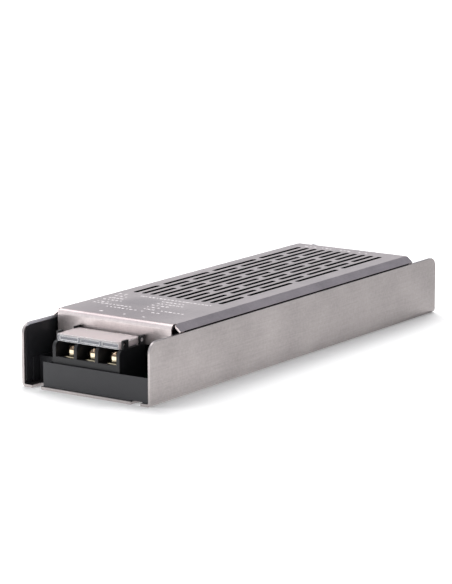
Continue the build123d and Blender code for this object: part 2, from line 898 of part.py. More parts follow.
def output_choke_coil():
    """Flat turns of wire round the ring core, one facet of the ring for each turn."""
    wire = output_choke_wire
    height = output_choke_height
    turns = output_choke_turns
    outer = extrude(RegularPolygon(output_choke_radius, turns), amount=height / 2, both=True)
    outer = chamfer(outer.edges().group_by(Axis.Z)[-1], wire)
    outer -= extrude(RegularPolygon(output_choke_hole, turns), amount=height, both=True)
    cavity = extrude(RegularPolygon(output_choke_radius - wire, turns), amount=height / 2 - wire, both=True)
    cavity -= extrude(RegularPolygon(output_choke_hole + wire, turns), amount=height, both=True)
    return Pos(*output_choke_middle()) * (outer - cavity)


def output_cap_places():
    x = secondary_start - station_gap - output_cap_radius
    y = output_cap_offset
    step = output_cap_pitch
    return [(x, y), (x - step, y), (x - 2 * step, y), (x, y - step)]


def output_capacitor():
    body = rod(output_cap_radius, (0, 0, board_top + part_gap), output_cap_height)
    body = chamfer(body.edges().filter_by(GeomType.CIRCLE), output_cap_edge)
    top = board_top + part_gap + output_cap_height
    for angle in (0, 90):
        body -= Pos(0, 0, top) * Rot(0, 0, angle) * Box(vent_length, vent_width, 2 * vent_depth)
    return body


def chip(length):
    body = Box(length, chip_width, chip_height)
    body = chamfer(body.edges().group_by(Axis.Z)[-1], chip_edge)
    z = board_top + part_gap + chip_height / 2
    y = -board_half_width + chip_side_gap + chip_width / 2
    return Pos(0, y, z) * body


# Assembly

def terminal_nodes(prefix, poles, place):
    """Block, lid, contact plates and, for each pole, its clamp washers and screw."""
    made = {
        prefix + "_terminal_block": place(terminal_block(poles)),
        prefix + "_lid": place(terminal_lid(poles)),
    }
    contacts = [place(Pos(0, middle, 0) * contact_plate()) for middle in cell_middles(poles)]
    made[prefix + "_contacts"] = group(contacts)
    for number, middle in enumerate(cell_middles(poles), start=1):
        axis = Pos(screw_inset, middle, 0)
        made[f"{prefix}_clamp_{number}"] = place(axis * clamp_washers())
        made[f"{prefix}_screw_{number}"] = place(axis * terminal_screw())
    return made


def contact_leg_places():
    leg_x = cell_depth - contact_margin - contact_leg_thickness / 2
    places = []
    for place, poles in ((at_input, input_poles), (at_output, output_poles)):
        for middle in cell_middles(poles):
            spot = place(Pos(leg_x, middle, 0) * Box(1, 1, 1)).center()
            places.append((spot.X, spot.Y))
    return places


def build_nodes():
    nodes = {
        "chassis": chassis(),
        "cover": cover(),
        "insulation_tray": insulation_tray(),
        "side_lining_left": side_lining(1),
        "side_lining_right": side_lining(-1),
        "circuit_board": circuit_board(contact_leg_places()),
    }
    nodes.update(terminal_nodes("input", input_poles, at_input))
    nodes.update(terminal_nodes("output", output_poles, at_output))
    bracket_x = near_end + bracket_inset
    number = 0
    for x in (bracket_x, -bracket_x):
        for side in (1, -1):
            number += 1
            nodes[f"cover_bracket_{number}"] = Pos(x, 0, 0) * cover_bracket(side)
    nodes["board_screws"] = group([Pos(x, y, board_top) * board_screw() for x, y in boss_places()])
    sunk = [Pos(x, body_width / 2, z) * wall_screw() for x, z in wall_screw_places()]
    nodes["wall_screws"] = group(sunk)
    nodes["heat_bar"] = heat_bar()
    screw_face = device_front + device_screw_recess
    device_screws = []
    names = ("switching_transistor_1", "switching_transistor_2", "rectifier_diode_1", "rectifier_diode_2")
    for name, x in zip(names, device_places()):
        nodes[name] = Pos(x, 0, 0) * power_device()
        device_screws.append(Pos(x, screw_face, device_screw_z) * device_screw())
    nodes["device_screws"] = group(device_screws)
    nodes["thermistor"] = Pos(0, -disc_spacing / 2, 0) * standing_disc()
    nodes["varistor"] = Pos(0, disc_spacing / 2, 0) * standing_disc()
    nodes["fuse"] = fuse()
    nodes["fuse_clips"] = group(fuse_clips())
    nodes["suppression_capacitor"] = suppression_capacitor()
    nodes["line_choke_core"] = line_choke_core()
    nodes["line_choke_coils"] = group(line_choke_coils())
    nodes["rectifier_bridge"] = rectifier_bridge()
    nodes["bulk_capacitor_1"] = bulk_capacitor(0)
    nodes["bulk_capacitor_2"] = bulk_capacitor(1)
    nodes["transformer_core"] = transformer_core()
    nodes["transformer_bobbin"] = transformer_bobbin()
    nodes["transformer_winding"] = transformer_winding()
    nodes["output_choke_core"] = output_choke_core()
    nodes["output_choke_coil"] = output_choke_coil()
    for number, (x, y) in enumerate(output_cap_places(), start=1):
        nodes[f"output_capacitor_{number}"] = Pos(x, y, 0) * output_capacitor()
    transformer_x = transformer_middle()[0]
    nodes["control_chip"] = Pos(transformer_x - core_length / 2 + chip_length / 2, 0, 0) * chip(chip_length)
    nodes["optocoupler"] = Pos(transformer_x + core_length / 2 - chip_width / 2, 0, 0) * chip(chip_width)
    return nodes


os.makedirs("parts", exist_ok=True)
for node_name, node in build_nodes().items():
    export_step(node, f"parts/{node_name}.step")
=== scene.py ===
import math

import bpy
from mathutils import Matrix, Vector


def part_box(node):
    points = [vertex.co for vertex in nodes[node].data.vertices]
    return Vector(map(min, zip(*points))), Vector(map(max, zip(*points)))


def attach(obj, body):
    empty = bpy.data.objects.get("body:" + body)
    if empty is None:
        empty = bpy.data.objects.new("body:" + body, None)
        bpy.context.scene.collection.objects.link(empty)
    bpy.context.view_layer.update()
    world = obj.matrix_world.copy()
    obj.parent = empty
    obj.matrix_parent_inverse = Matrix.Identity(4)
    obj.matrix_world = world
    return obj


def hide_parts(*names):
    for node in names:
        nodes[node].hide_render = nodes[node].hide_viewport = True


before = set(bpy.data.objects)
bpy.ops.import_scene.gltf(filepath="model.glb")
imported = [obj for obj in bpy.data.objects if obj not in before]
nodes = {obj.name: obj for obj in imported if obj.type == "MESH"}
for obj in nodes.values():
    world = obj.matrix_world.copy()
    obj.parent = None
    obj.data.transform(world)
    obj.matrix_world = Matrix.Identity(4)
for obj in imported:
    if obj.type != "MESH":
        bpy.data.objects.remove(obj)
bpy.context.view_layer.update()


# The studio: a white card under two soft boxes, seen from the input end, a little above. The
# card keeps the case's shadow. The metal mirrors a pale room with a dark flag past the output
# end, which darkens the cover's sloped edge, and bright patches that light its bends.

def linear(hex_colour, share=1.0):
    """An sRGB hex colour as linear red, green, blue and alpha. A share lightens or darkens it."""
    channels = [int(hex_colour[i:i + 2], 16) / 255 for i in (1, 3, 5)]
    spread = [c / 12.92 if c <= 0.04045 else ((c + 0.055) / 1.055) ** 2.4 for c in channels]
    return (*(share * c for c in spread), 1.0)


def add(tree, kind, values=None, links=None, **settings):
    """One node: settings are its properties, values and links go to its inputs, by name, or by
    number where names repeat. In a Mix node 0 is the factor, 2 and 3 are its numbers, 6 and 7
    its colours. A link starts at a socket, or at a node's first output."""
    node = tree.nodes.new(kind)
    for name, value in settings.items():
        setattr(node, name, value)
    for key, value in (values or {}).items():
        node.inputs[key].default_value = value
    for key, source in (links or {}).items():
        tree.links.new(getattr(source, "outputs", [source])[0], node.inputs[key])
    return node


def new_material(name):
    """A material with no nodes yet."""
    made = bpy.data.materials.new(name)
    made.use_nodes = True
    made.node_tree.nodes.clear()
    return made


def turned_to(obj, place, target):
    """Puts a camera or a lamp in the scene, facing a target."""
    obj.location = place
    obj.rotation_mode = "QUATERNION"
    obj.rotation_quaternion = (Vector(target) - Vector(place)).to_track_quat("-Z", "Y")
    bpy.context.scene.collection.objects.link(obj)


# The camera's place, target and lens were fitted to the case's corners in the photograph.
camera_data = bpy.data.cameras.new("camera")
camera_data.lens = 157.25
camera_data.clip_start = 0.05
camera_data.clip_end = 20.0
camera = bpy.data.objects.new("camera", camera_data)
turned_to(camera, (-0.796457, -0.541492, 0.215472), (-0.001890, 0.006147, 0.021248))
bpy.context.scene.camera = camera
bpy.context.scene.view_settings.view_transform = "Standard"

HALF_CARD = 3.0
corners = [(HALF_CARD * x, HALF_CARD * y, 0) for x, y in ((-1, -1), (1, -1), (1, 1), (-1, 1))]
card_mesh = bpy.data.meshes.new("white_card")
card_mesh.from_pydata(corners, [], [(0, 1, 2, 3)])

# White card: fully matt. It glows a little for the camera, and more away from the case, where
# the lamps light it less. Metal and clear plastic mirror a pool of light on it, left of the
# input end, that dims towards the output end. Each glow goes from one distance to another.
NEAR, FAR = 0.25, 1.2
NEAR_GLOW, FAR_GLOW = 0.16, 0.9
POOL_PLACE = (-0.22, 0.22, 0.0)
POOL_FULL, POOL_END = 0.10, 0.45
POOL_GLOW = 1.6
card = new_material("matt_white_card")
tree = card.node_tree
ray = add(tree, "ShaderNodeLightPath").outputs
place = add(tree, "ShaderNodeTexCoord").outputs["Object"]
away = add(tree, "ShaderNodeVectorMath", operation="DISTANCE", values={1: POOL_PLACE},
           links={0: place})
pool = add(tree, "ShaderNodeMapRange", links={"Value": away.outputs["Value"]},
           values={"From Min": POOL_FULL, "From Max": POOL_END, "To Min": POOL_GLOW, "To Max": 0})
mirrored = add(tree, "ShaderNodeMath", operation="MULTIPLY",
               links={0: ray["Is Glossy Ray"], 1: pool})
reach = add(tree, "ShaderNodeVectorMath", operation="LENGTH", links={0: place})
shown = add(tree, "ShaderNodeMapRange", links={"Value": reach.outputs["Value"]},
            values={"From Min": NEAR, "From Max": FAR, "To Min": NEAR_GLOW, "To Max": FAR_GLOW})
direct = add(tree, "ShaderNodeMath", operation="MAXIMUM",
             links={0: ray["Is Camera Ray"], 1: ray["Is Transmission Ray"]})
glow = add(tree, "ShaderNodeMath", operation="MULTIPLY_ADD",
           links={0: direct, 1: shown, 2: mirrored})
matt = add(tree, "ShaderNodeBsdfDiffuse", values={"Color": linear("#F0F0F0")})
light = add(tree, "ShaderNodeEmission", values={"Color": linear("#FFFFFF")},
            links={"Strength": glow})
both = add(tree, "ShaderNodeAddShader", links={0: matt, 1: light})
add(tree, "ShaderNodeOutputMaterial", links={"Surface": both})
card_mesh.materials.append(card)
floor = bpy.data.objects.new("floor", card_mesh)
bpy.context.scene.collection.objects.link(floor)

# The room looks different to each kind of ray: white to the camera, a dim grey that fills the
# shadows, and to metal a pale room with a flag, a lamp and a side box in it. Each patch has its
# direction, and the angles in degrees off it where it starts and where it is full.
FLAG_PATCH = ((0.807, -0.098, 0.582), 38, 16)
LAMP_PATCH = ((0.12, 0.52, 0.85), 24, 5)
SIDE_PATCH = ((-0.60, 0.62, 0.50), 40, 8)
LAMP_GLARE = 3.0
SIDE_GLARE = 0.55
world = bpy.data.worlds.new("studio")
bpy.context.scene.world = world
world.use_nodes = True
tree = world.node_tree
tree.nodes.clear()
ray = add(tree, "ShaderNodeLightPath").outputs
place = add(tree, "ShaderNodeTexCoord").outputs["Generated"]
patches = []
for towards, start, full in (FLAG_PATCH, LAMP_PATCH, SIDE_PATCH):
    near = add(tree, "ShaderNodeVectorMath", operation="DOT_PRODUCT", links={0: place},
               values={1: Vector(towards).normalized()})
    patches.append(add(tree, "ShaderNodeMapRange", interpolation_type="SMOOTHSTEP",
                       links={"Value": near.outputs["Value"]},
                       values={"From Min": math.cos(math.radians(start)),
                               "From Max": math.cos(math.radians(full))}))
flag, lamp, side = patches
flagged = add(tree, "ShaderNodeMix", data_type="RGBA", links={0: flag},
              values={6: linear("#ECEFF4"), 7: linear("#AFB4BF")})
room = add(tree, "ShaderNodeBackground", links={"Color": flagged.outputs[2]})
side_glare = add(tree, "ShaderNodeMath", operation="MULTIPLY", values={1: SIDE_GLARE},
                 links={0: side})
glare = add(tree, "ShaderNodeMath", operation="MULTIPLY_ADD", values={1: LAMP_GLARE},
            links={0: lamp, 2: side_glare})
lamps = add(tree, "ShaderNodeBackground", values={"Color": linear("#FFFFFF")},
            links={"Strength": glare})
mirrored = add(tree, "ShaderNodeAddShader", links={0: room, 1: lamps})
fill = add(tree, "ShaderNodeBackground", values={"Color": linear("#9E9EA0")})
lit = add(tree, "ShaderNodeMixShader", links={0: ray["Is Glossy Ray"], 1: fill, 2: mirrored})
white = add(tree, "ShaderNodeBackground", values={"Color": linear("#FFFFFF")})
direct = add(tree, "ShaderNodeMath", operation="MAXIMUM",
             links={0: ray["Is Camera Ray"], 1: ray["Is Transmission Ray"]})
seen = add(tree, "ShaderNodeMixShader", links={0: direct, 1: lit, 2: white})
add(tree, "ShaderNodeOutputWorld", links={"Surface": seen})


def soft_box(name, place, size, watts):
    """A square lamp aimed at the case. It isn't mirrored, because the world holds its image."""
    lamp_data = bpy.data.lights.new(name, "AREA")
    lamp_data.shape = "SQUARE"
    lamp_data.size = size
    lamp_data.energy = watts
    box = bpy.data.objects.new(name, lamp_data)
    box.visible_glossy = False
    turned_to(box, place, (0, 0, 0))


soft_box("overhead_box", (0.66, 0.46, 1.00), size=1.1, watts=25.0)
soft_box("side_box", (-0.34, 0.36, 0.26), size=0.3, watts=1.0)


# The chassis: one sheet of aluminium-zinc coated steel, folded to a floor and two long walls,
# with open notches at its ends and bosses pressed up for the board. The sheet is rolled, so it
# has a fine grain along its length, faint stains and bright cut edges.

def dress(node_name, material):
    """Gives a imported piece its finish."""
    mesh = nodes[node_name].data
    mesh.materials.clear()
    mesh.materials.append(material)


def brushed_metal(name, colour, grain, grain_mm, roughness, stain=0.10, edge_mm=0.12):
    """Metal with fine scratches along one axis, mottling, cloudy stains 16 mm wide, and edges
    eased by a given radius. Noise scales count features per metre."""
    made = new_material(name)
    tree = made.node_tree
    place = add(tree, "ShaderNodeTexCoord").outputs["Object"]
    drawn_out = [0.03 if axis == grain else 1 for axis in "XYZ"]
    drawn = add(tree, "ShaderNodeMapping", values={"Scale": drawn_out}, links={"Vector": place})
    lines = add(tree, "ShaderNodeTexNoise", values={"Scale": 1000 / grain_mm, "Detail": 3.0},
                links={"Vector": drawn})
    mottle = add(tree, "ShaderNodeTexNoise", links={"Vector": place},
                 values={"Scale": 1000 / (3 * grain_mm), "Detail": 4.0})
    cloud = add(tree, "ShaderNodeTexNoise", values={"Scale": 1000 / 16, "Detail": 3.0},
                links={"Vector": place})
    fine = add(tree, "ShaderNodeMix", values={0: 0.55}, links={2: lines, 3: mottle})
    tone = add(tree, "ShaderNodeMix", values={0: 0.45}, links={2: fine, 3: cloud})
    paint = add(tree, "ShaderNodeMix", data_type="RGBA", links={0: tone},
                values={6: linear(colour, 1 - 2 * stain), 7: linear(colour, 1 + 2 * stain)})
    rough = add(tree, "ShaderNodeMapRange", links={"Value": tone},
                values={"To Min": roughness - 0.08, "To Max": roughness + 0.08})
    eased = add(tree, "ShaderNodeBevel", values={"Radius": edge_mm / 1000}, samples=4)
    relief = add(tree, "ShaderNodeBump", values={"Strength": 0.15, "Distance": 0.00005},
                 links={"Height": lines, "Normal": eased})
    shader = add(tree, "ShaderNodeBsdfPrincipled", values={"Metallic": 1.0},
                 links={"Base Color": paint.outputs[2], "Roughness": rough, "Normal": relief})
    add(tree, "ShaderNodeOutputMaterial", links={"Surface": shader})
    return made


def shader_of(material):
    """A finish's shader, for a piece that adds to what feeds it."""
    return material.node_tree.nodes["Principled BSDF"]


def fed_by(shader, name):
    """The socket that one of the shader's inputs is linked to so far."""
    return shader.inputs[name].links[0].from_socket


# Aluminium-zinc coated sheet: satin, warm grey, grain of about 0.4 mm drawn out along the case.
chassis_sheet = brushed_metal("aluminium_zinc_sheet", "#989291", "X", grain_mm=0.4,
                              roughness=0.36, stain=0.28, edge_mm=0.3)
# The bare band inside each wall, above the black film, is painted paler, as painted light,
# and is more matt. It starts just below the film's top, on the faces that look to the case's
# middle line.
BARE_ROUGHNESS = 0.65
bare_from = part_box("side_lining_left")[1][2] - 0.0003
tree = chassis_sheet.node_tree
shader = shader_of(chassis_sheet)
place = add(tree, "ShaderNodeTexCoord").outputs["Object"]
axes = add(tree, "ShaderNodeSeparateXYZ", links={"Vector": place}).outputs
faces = add(tree, "ShaderNodeNewGeometry").outputs["True Normal"]
normal = add(tree, "ShaderNodeSeparateXYZ", links={"Vector": faces}).outputs
outward = add(tree, "ShaderNodeMath", operation="MULTIPLY", links={0: axes["Y"], 1: normal["Y"]})
inner = add(tree, "ShaderNodeMath", operation="LESS_THAN", values={1: -0.01}, links={0: outward})
above = add(tree, "ShaderNodeMath", operation="GREATER_THAN", values={1: bare_from},
            links={0: axes["Z"]})
bare = add(tree, "ShaderNodeMath", operation="MULTIPLY", links={0: inner, 1: above})
# Painted light: the bare band's colour is made paler.
painted_band_light = add(tree, "ShaderNodeMix", data_type="RGBA", values={7: linear("#EAE8EC")},
            links={0: bare, 6: fed_by(shader, "Base Color")})
tree.links.new(painted_band_light.outputs[2], shader.inputs["Base Color"])
matt_or_painted_shade = add(tree, "ShaderNodeMix", values={3: BARE_ROUGHNESS},
             links={0: bare, 2: fed_by(shader, "Roughness")})
tree.links.new(matt_or_painted_shade.outputs[0], shader.inputs["Roughness"])
dress("chassis", chassis_sheet)
for number in (1, 2, 3, 4):
    dress(f"cover_bracket_{number}", chassis_sheet)


# Screws in the case: zinc-plated steel, slotted pan heads on the board and the devices,
# and sunk cross heads in the hidden wall, for the cover brackets and the heat bar.

# Zinc plate: a cool, even grey with a soft shine.
zinc_plate = brushed_metal("bright_zinc_plate", "#B4B6BA", "Z", grain_mm=0.5, roughness=0.3,
                           stain=0.06)
for node_name in ("board_screws", "wall_screws", "device_screws"):
    dress(node_name, zinc_plate)


# The black film: polyester sheet 0.35 to 0.4 mm thick, die cut and folded, lining both walls
# and the floor, with a flap up in front of each terminal block. It is satin and slightly wavy.

def moulded(name, colour, roughness, peel_mm=0.6, peel=0.12, edge_mm=0.12, wave=0.0):
    """A plastic skin with an orange peel, mottling 14 mm wide, eased edges and, on a sheet,
    waves. Its IOR is below a plastic's usual 1.5, because these skins are a little dusty."""
    made = new_material(name)
    tree = made.node_tree
    place = add(tree, "ShaderNodeTexCoord").outputs["Object"]
    skin = add(tree, "ShaderNodeTexNoise", values={"Scale": 1000 / peel_mm, "Detail": 2.0},
               links={"Vector": place})
    cloud = add(tree, "ShaderNodeTexNoise", values={"Scale": 1000 / 14, "Detail": 3.0},
                links={"Vector": place})
    paint = add(tree, "ShaderNodeMix", data_type="RGBA", links={0: cloud},
                values={6: linear(colour, 0.88), 7: linear(colour, 1.12)})
    rough = add(tree, "ShaderNodeMapRange", links={"Value": cloud},
                values={"To Min": roughness - 0.06, "To Max": roughness + 0.06})
    eased = add(tree, "ShaderNodeBevel", values={"Radius": edge_mm / 1000}, samples=4)
    slack = add(tree, "ShaderNodeBump", values={"Strength": wave, "Distance": 0.0006},
                links={"Height": cloud, "Normal": eased})
    relief = add(tree, "ShaderNodeBump", values={"Strength": peel, "Distance": 0.00005},
                 links={"Height": skin, "Normal": slack})
    shader = add(tree, "ShaderNodeBsdfPrincipled", values={"IOR": 1.37},
                 links={"Base Color": paint.outputs[2], "Roughness": rough, "Normal": relief})
    add(tree, "ShaderNodeOutputMaterial", links={"Surface": shader})
    return made


# Black polyester film: satin face that lifts to dark grey where it mirrors the card.
polyester_film = moulded("black_polyester_film", "#2E2E31", 0.38, peel_mm=0.9, peel=0.06,
                         edge_mm=0.05, wave=0.25)
for node_name in ("insulation_tray", "side_lining_left", "side_lining_right"):
    dress(node_name, polyester_film)


# The circuit board: glass-epoxy laminate with a green solder mask over etched copper tracks.
# It sits on the chassis bosses under four screws.

TRACK_PITCH_MM = 2.6
TRACK_WIDTH_MM = 0.35
BLACK, WHITE = linear("#000000"), linear("#FFFFFF")
# Solder mask: a glossy green lacquer, lighter where it runs over copper.
solder_mask = moulded("green_solder_mask", "#17402A", 0.32, peel_mm=1.2, peel=0.08)
tree = solder_mask.node_tree
shader = shader_of(solder_mask)
place = add(tree, "ShaderNodeTexCoord").outputs["Object"]
tracks = add(tree, "ShaderNodeTexBrick", links={"Vector": place},
             values={"Color1": BLACK, "Color2": BLACK, "Mortar": WHITE, "Scale": 1.0,
                     "Mortar Size": TRACK_WIDTH_MM / 2000, "Mortar Smooth": 0.1,
                     "Brick Width": 4 * TRACK_PITCH_MM / 1000,
                     "Row Height": TRACK_PITCH_MM / 1000})
over_copper = add(tree, "ShaderNodeMix", data_type="RGBA", values={7: linear("#3C7A45")},
                  links={0: tracks, 6: fed_by(shader, "Base Color")})
tree.links.new(over_copper.outputs[2], shader.inputs["Base Color"])
dress("circuit_board", solder_mask)


# The heat bar and its devices: a sawn aluminium bar against the hidden wall, and four moulded
# power devices screwed to it. The small parts of black moulding compound share its finish.

# Mill-finish aluminium: plain grey, with saw marks along the bar.
mill_aluminium = brushed_metal("mill_aluminium", "#9C9DA0", "X", grain_mm=0.5, roughness=0.42)
dress("heat_bar", mill_aluminium)
# Epoxy moulding compound: matt, nearly black, with a fine grit.
moulding_compound = moulded("epoxy_moulding_compound", "#202022", 0.62, peel_mm=0.3, peel=0.2)
for node_name in ("switching_transistor_1", "switching_transistor_2", "rectifier_diode_1",
                  "rectifier_diode_2", "rectifier_bridge", "control_chip", "optocoupler",
                  "transformer_bobbin"):
    dress(node_name, moulding_compound)


# The mains side of the board: a glass fuse in plated clips, two lacquered discs, a boxed film
# capacitor and a wound line choke on a ferrite frame.

# Fuse glass: smooth and glossy, a dull green-grey over the wire and the board behind it.
dress("fuse", moulded("fuse_glass", "#7E8480", 0.15, peel=0.02))
dress("fuse_clips", zinc_plate)
# Dipped lacquer: a soft gloss with a coarse peel, dark on one disc and blue on the other.
dress("thermistor", moulded("dark_disc_lacquer", "#26302A", 0.38, peel_mm=1.0, peel=0.3))
dress("varistor", moulded("blue_disc_lacquer", "#24365E", 0.38, peel_mm=1.0, peel=0.3))
# Moulded capacitor box: plain mid grey, half matt.
dress("suppression_capacitor", moulded("grey_capacitor_box", "#55575B", 0.5))
# Manganese-zinc ferrite: charcoal, fired and ground, faintly rough.
ferrite = moulded("charcoal_ferrite", "#2C2C2E", 0.6, peel_mm=0.4, peel=0.3)
dress("line_choke_core", ferrite)

# Enamelled copper wire, wound close: ridges across the choke at the wire's spacing.
WIRE_PITCH_MM = 0.8
BAND_SCALE = 314  # a band texture of this scale repeats every millimetre
wound_copper = brushed_metal("wound_enamelled_copper", "#7C4226", "Z", grain_mm=0.8,
                             roughness=0.38)
tree = wound_copper.node_tree
place = add(tree, "ShaderNodeTexCoord").outputs["Object"]
turns = add(tree, "ShaderNodeTexWave", wave_type="BANDS", bands_direction="X",
            values={"Scale": BAND_SCALE / WIRE_PITCH_MM}, links={"Vector": place})
ridges = add(tree, "ShaderNodeBump", values={"Strength": 0.9, "Distance": 0.0002},
             links={"Height": turns.outputs["Fac"]})
tree.links.new(ridges.outputs[0], shader_of(wound_copper).inputs["Normal"])
dress("line_choke_coils", wound_copper)


# The transformer and the capacitors: a tape-wound ferrite transformer, two bulk cans lying
# along the case and four smaller cans standing at the output, all in shrunk plastic sleeves.

dress("transformer_core", ferrite)
# Winding tape: dark brown polyester, half matt, slightly wavy where its turns overlap.
dress("transformer_winding", moulded("dark_winding_tape", "#2B271F", 0.45, peel_mm=1.5, peel=0.2,
                                     wave=0.2))
# Shrunk sleeve: nearly black with a blue cast, drawn tight and glossy.
capacitor_sleeve = moulded("shrunk_dark_sleeve", "#20222B", 0.3, peel_mm=1.5, peel=0.08)
for node_name in ("bulk_capacitor_1", "bulk_capacitor_2", "output_capacitor_1",
                  "output_capacitor_2", "output_capacitor_3", "output_capacitor_4"):
    dress(node_name, capacitor_sleeve)


# The output choke: one layer of thick enamelled copper wire wound round a coated ring core.
# The wire follows the core's rounded section, turn by turn, and closes on itself.

def tree_with(name, floats, vectors=(), wholes=()):
    """A geometry tree with named inputs and one geometry output; returns it and its inputs."""
    tree = bpy.data.node_groups.new(name, "GeometryNodeTree")
    tree.interface.new_socket("Geometry", in_out="INPUT", socket_type="NodeSocketGeometry")
    for kind, names in (("Float", floats), ("Vector", vectors), ("Int", wholes)):
        for socket_name in names:
            tree.interface.new_socket(socket_name, in_out="INPUT",
                                      socket_type=f"NodeSocket{kind}")
    tree.interface.new_socket("Geometry", in_out="OUTPUT", socket_type="NodeSocketGeometry")
    return tree, add(tree, "NodeGroupInput").outputs


def finish_tree(tree, shape, material):
    """Ends a tree: smooth faces, sharp where they meet at over 35 degrees, real geometry,
    one material."""
    smooth = add(tree, "GeometryNodeSetShadeSmooth", values={"Shade Smooth": True},
                 links={"Geometry": shape})
    angle = add(tree, "GeometryNodeInputMeshEdgeAngle")
    corner = add(tree, "FunctionNodeCompare", operation="GREATER_THAN",
                 values={1: math.radians(35)}, links={0: angle})
    sharp = add(tree, "GeometryNodeSetShadeSmooth", domain="EDGE", values={"Shade Smooth": False},
                links={"Geometry": smooth, "Selection": corner})
    real = add(tree, "GeometryNodeRealizeInstances", links={"Geometry": sharp})
    painted = add(tree, "GeometryNodeSetMaterial", values={"Material": material},
                  links={"Geometry": real})
    add(tree, "NodeGroupOutput", links={"Geometry": painted})


def grown(name, tree, sizes, base=None):
    """Runs a tree with the given sizes and returns the result as a plain mesh object."""
    piece = bpy.data.objects.new(name, base or bpy.data.meshes.new(name))
    bpy.context.scene.collection.objects.link(piece)
    modifier = piece.modifiers.new("shape", "NODES")
    modifier.node_group = tree
    for item in tree.interface.items_tree:
        if item.in_out == "INPUT" and item.name in sizes:
            modifier[item.identifier] = sizes[item.name]
    evaluated = piece.evaluated_get(bpy.context.evaluated_depsgraph_get())
    mesh = bpy.data.meshes.new_from_object(evaluated)
    piece.modifiers.remove(modifier)
    piece.data = mesh
    return piece


# Coated iron powder: a pale green lacquer, matt.
dress("output_choke_core", moulded("powder_core_lacquer", "#4C5C48", 0.6))

POINTS_PER_TURN = 20
ROUNDING = 0.35  # 1 would give the turns a round section, 0 a square one
tree, size = tree_with("ring_winding", ("Ring Radius", "Half Width", "Half Height", "Wire Radius"),
                       ("Place",), ("Turns",))
count = add(tree, "ShaderNodeMath", operation="MULTIPLY", values={1: POINTS_PER_TURN},
            links={0: size["Turns"]})
path = add(tree, "GeometryNodeMeshLine", links={"Count": count})
index = add(tree, "GeometryNodeInputIndex")
share = add(tree, "ShaderNodeMath", operation="DIVIDE", links={0: index, 1: count})
round_ring = add(tree, "ShaderNodeMath", operation="MULTIPLY", values={1: math.tau},
                 links={0: share})
round_core = add(tree, "ShaderNodeMath", operation="MULTIPLY",
                 links={0: round_ring, 1: size["Turns"]})
offsets = []
for wave, reach in (("COSINE", "Half Width"), ("SINE", "Half Height")):
    swing = add(tree, "ShaderNodeMath", operation=wave, links={0: round_core})
    way = add(tree, "ShaderNodeMath", operation="SIGN", links={0: swing})
    amount = add(tree, "ShaderNodeMath", operation="ABSOLUTE", links={0: swing})
    squared = add(tree, "ShaderNodeMath", operation="POWER", values={1: ROUNDING},
                  links={0: amount})
    signed = add(tree, "ShaderNodeMath", operation="MULTIPLY", links={0: squared, 1: way})
    offsets.append(add(tree, "ShaderNodeMath", operation="MULTIPLY",
                       links={0: signed, 1: size[reach]}))
outward, upward = offsets
radius = add(tree, "ShaderNodeMath", operation="ADD", links={0: outward, 1: size["Ring Radius"]})
across = add(tree, "ShaderNodeMath", operation="COSINE", links={0: round_ring})
along = add(tree, "ShaderNodeMath", operation="SINE", links={0: round_ring})
ring_x = add(tree, "ShaderNodeMath", operation="MULTIPLY", links={0: radius, 1: across})
ring_y = add(tree, "ShaderNodeMath", operation="MULTIPLY", links={0: radius, 1: along})
point = add(tree, "ShaderNodeCombineXYZ", links={"X": ring_x, "Y": ring_y, "Z": upward})
placed = add(tree, "ShaderNodeVectorMath", operation="ADD", links={0: point, 1: size["Place"]})
laid = add(tree, "GeometryNodeSetPosition", links={"Geometry": path, "Position": placed})
line = add(tree, "GeometryNodeMeshToCurve", links={"Mesh": laid})
closed = add(tree, "GeometryNodeSetSplineCyclic", values={"Cyclic": True}, links={0: line})
section = add(tree, "GeometryNodeCurvePrimitiveCircle", values={"Resolution": 8},
              links={"Radius": size["Wire Radius"]})
wire = add(tree, "GeometryNodeCurveToMesh", links={"Curve": closed, "Profile Curve": section})
# Enamelled copper: reddish brown lacquer over bright wire, with a soft gloss.
copper_wire = brushed_metal("enamelled_copper_wire", "#8A4A2A", "Z", grain_mm=0.8, roughness=0.3,
                            stain=0.05)
finish_tree(tree, wire, copper_wire)
low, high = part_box("output_choke_coil")
winding = grown("output_choke_winding", tree, {
    "Ring Radius": 0.0072, "Half Width": 0.00215, "Half Height": 0.0039,
    "Wire Radius": 0.0005, "Turns": 26, "Place": [(a + b) / 2 for a, b in zip(low, high)],
})
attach(winding, "root")
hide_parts("output_choke_coil")


# The terminal blocks: black glass-filled nylon, moulded in one piece with the walls between
# the cells and the four lid posts, and soldered to the board through the contact legs.

# Glass-filled nylon: black, with a slightly coarse skin that takes a soft shine.
glass_filled_nylon = moulded("black_glass_filled_nylon", "#1D1D1F", 0.46, peel_mm=0.5, peel=0.2,
                             edge_mm=0.15)
dress("input_terminal_block", glass_filled_nylon)
dress("output_terminal_block", glass_filled_nylon)


# Contacts and clamps: tinned brass plates under square clamp washers and spring washers.
# Their grooved rims show below each screw head as bright strokes, with painted shade between them.

# Tinned brass: pale and even, with a yellow cast.
tinned_brass = brushed_metal("tinned_brass", "#D2C8AC", "X", grain_mm=0.6, roughness=0.24)
dress("input_contacts", tinned_brass)
dress("output_contacts", tinned_brass)
